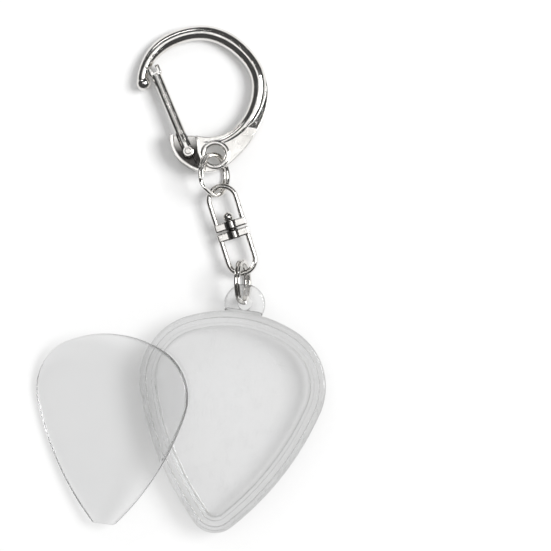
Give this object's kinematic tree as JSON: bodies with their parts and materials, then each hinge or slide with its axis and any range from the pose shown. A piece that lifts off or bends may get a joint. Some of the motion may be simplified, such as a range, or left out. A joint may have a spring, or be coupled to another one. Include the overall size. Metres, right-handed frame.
{
  "type": "pick holder",
  "caption": "Clear pick-shaped pocket case with a loose lid, hung by split rings and a swivel from a spring-gate snap hook.",
  "frame": {"origin": "centre of the case's outline, on its flat back face", "axes": "+Y along the case's centreline towards the ear and hook, +Z out of the pocket"},
  "size_m": [0.0526, 0.093, 0.0102],
  "materials": {
    "clear_plastic": "clear gloss polystyrene",
    "clear_lid": "clear gloss polystyrene",
    "plated_metal": "polished nickel plate on die casting",
    "plated_wire": "polished nickel plate on steel",
    "spring_steel": "bright spring wire"
  },
  "bodies": {
    "case": {"case_body": "clear_plastic"},
    "lid": {"case_lid": "clear_lid"},
    "lower_ring": {"lower_ring": "plated_wire"},
    "lower_swivel": {"swivel_lower_yoke": "plated_wire", "swivel_rivet": "plated_wire"},
    "upper_swivel": {"swivel_upper_yoke": "plated_wire"},
    "upper_ring": {"upper_ring": "plated_wire"},
    "hook": {"hook_body": "plated_metal", "gate_pin": "plated_wire", "gate_spring": "spring_steel"},
    "gate": {"hook_gate": "plated_metal"}
  },
  "joints": [
    {"name": "lid_lift", "type": "slide", "parent": "case", "child": "lid", "axis": [0, 0, 1], "range_m": [0, 0.03]},
    {"name": "ear_ring_swing", "type": "hinge", "parent": "case", "child": "lower_ring", "pos_m": [-0.00023, 0.02204, 0.0034], "axis": [0.9575, 0.1568, 0.2419], "range_deg": [-20, 6]},
    {"name": "lower_yoke_swing", "type": "hinge", "parent": "lower_ring", "child": "lower_swivel", "pos_m": [-0.00121, 0.02913, 0.00272], "axis": [-0.2831, 0.3528, 0.8918], "range_deg": [-50, 50]},
    {"name": "swivel_spin", "type": "hinge", "parent": "lower_swivel", "child": "upper_swivel", "pos_m": [-0.00427, 0.03481, 0.00272], "axis": [-0.4368, 0.8996, 0], "continuous": true},
    {"name": "hook_ring_swing", "type": "hinge", "parent": "upper_swivel", "child": "upper_ring", "pos_m": [-0.00753, 0.04083, 0.00272], "axis": [-0.4789, -0.4233, 0.7691], "range_deg": [-45, 45]},
    {"name": "hook_eye_swing", "type": "hinge", "parent": "upper_ring", "child": "hook", "pos_m": [-0.00941, 0.0479, 0.00321], "axis": [-0.5987, 0.0295, 0.8004], "range_deg": [-15, 15]},
    {"name": "gate_pivot", "type": "hinge", "parent": "hook", "child": "gate", "pos_m": [-0.01421, 0.04775, 0.00309], "axis": [0.0253, -0.0779, -0.9966], "range_deg": [0, 28], "stiffness_Nm_per_rad": 0.012, "springref_deg": -20.05, "deforming": ["gate_spring"]}
  ]
}
